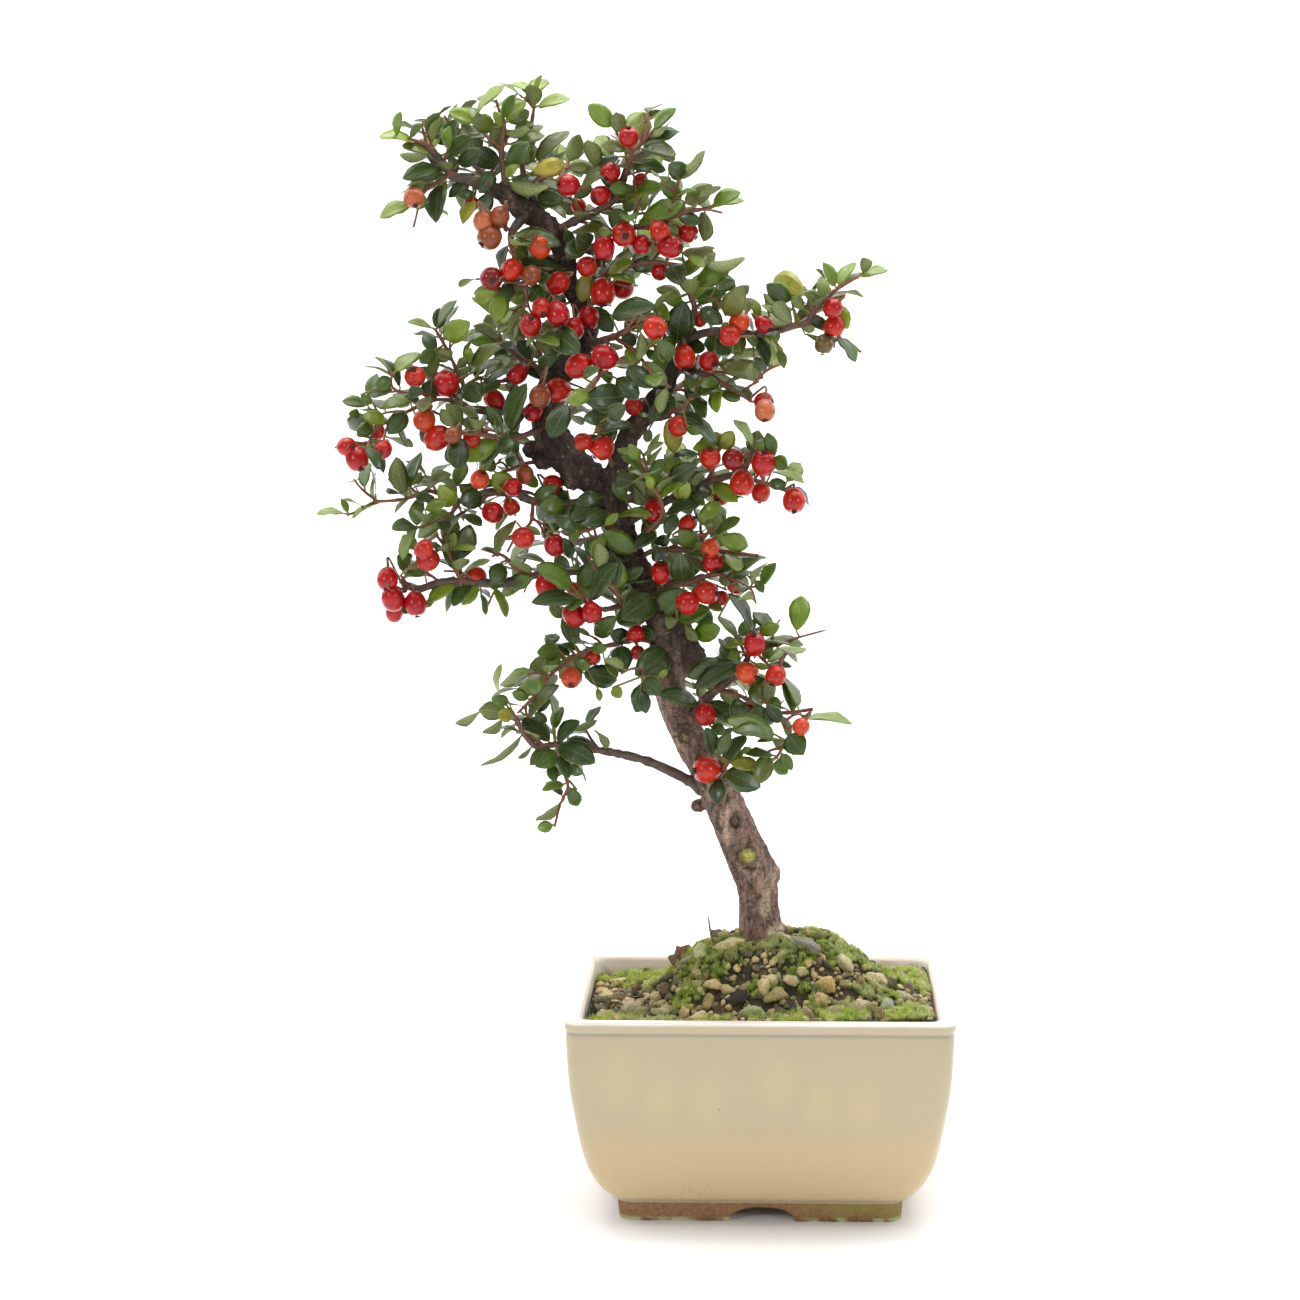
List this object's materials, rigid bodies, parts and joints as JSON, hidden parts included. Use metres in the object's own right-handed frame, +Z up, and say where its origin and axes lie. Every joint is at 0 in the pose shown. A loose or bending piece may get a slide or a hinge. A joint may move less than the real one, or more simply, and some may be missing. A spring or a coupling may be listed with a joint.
{
  "type": "cotoneaster bonsai in a pot",
  "caption": "Leaning bonsai tree with a forked trunk, thin leafy shoots and red berries, in a glazed rectangular ceramic pot with a clay foot",
  "frame": {"origin": "middle of the bottom of the bounding box, on the surface that the pot stands on; the middle of the pot is 49.3 mm to the right of it (+X) and 1.5 mm in front of it (-Y)", "axes": "+Z up, the front of the pot and of the tree faces -Y, +X to the right seen from the front"},
  "size_m": [0.2486, 0.118, 0.4475],
  "materials": {
    "glaze": "cream glazed ceramic on a bare clay foot",
    "net": "black plastic drain net",
    "soil": "coarse mineral bonsai soil with moss",
    "bark": "matt bark",
    "leaf": "satin leaves and berries on brown twigs",
    "berry": "smooth red berries"
  },
  "bodies": {
    "root": {"pot": "glaze", "drain_mesh_left": "net", "drain_mesh_right": "net", "soil": "soil", "trunk": "bark", "shoot_crown_tip": "leaf", "shoot_crown_left_up": "leaf", "shoot_crown_mid_up": "leaf", "shoot_crown_right": "leaf", "shoot_crown_right_low": "leaf", "shoot_crown_mid_right": "leaf", "shoot_limb_top": "leaf", "shoot_limb_right": "leaf", "shoot_limb_fork": "leaf", "shoot_limb_short": "leaf", "shoot_centre_front": "leaf", "shoot_centre_low": "leaf", "shoot_left_upper": "leaf", "shoot_left_stub": "leaf", "shoot_left_mid": "leaf", "shoot_left_inner": "leaf", "shoot_left_shoulder": "leaf", "shoot_left_whip": "leaf", "shoot_shoulder_low": "leaf", "shoot_low_left": "leaf", "shoot_low_front": "leaf", "shoot_low_twig": "leaf", "shoot_low_branch": "leaf", "shoot_right_low": "leaf", "shoot_trunk_shoot": "leaf", "shoot_right_mid": "leaf", "shoot_rosette": "leaf", "shoot_right_inner": "leaf", "shoot_right_red": "leaf", "shoot_trunk_arc": "leaf", "shoot_back_low": "leaf", "shoot_back_low_left": "leaf", "shoot_back_low_right": "leaf", "shoot_back_mid_left": "leaf", "shoot_back_mid_right": "leaf", "shoot_back_shoulder": "leaf", "shoot_back_centre": "leaf", "shoot_back_left": "leaf", "shoot_back_limb": "leaf", "shoot_back_high": "leaf", "shoot_back_high_left": "leaf", "shoot_back_crown": "leaf", "shoot_back_tip": "leaf", "berries_tip": "berry", "berries_whip": "berry", "berries_left": "berry", "berries_centre": "berry", "berries_upper_left": "berry", "berries_stub": "berry", "berries_crown": "berry", "berries_crown_right": "berry", "berries_mid": "berry", "berries_fork": "berry", "berries_inner": "berry"}
  },
  "joints": []
}
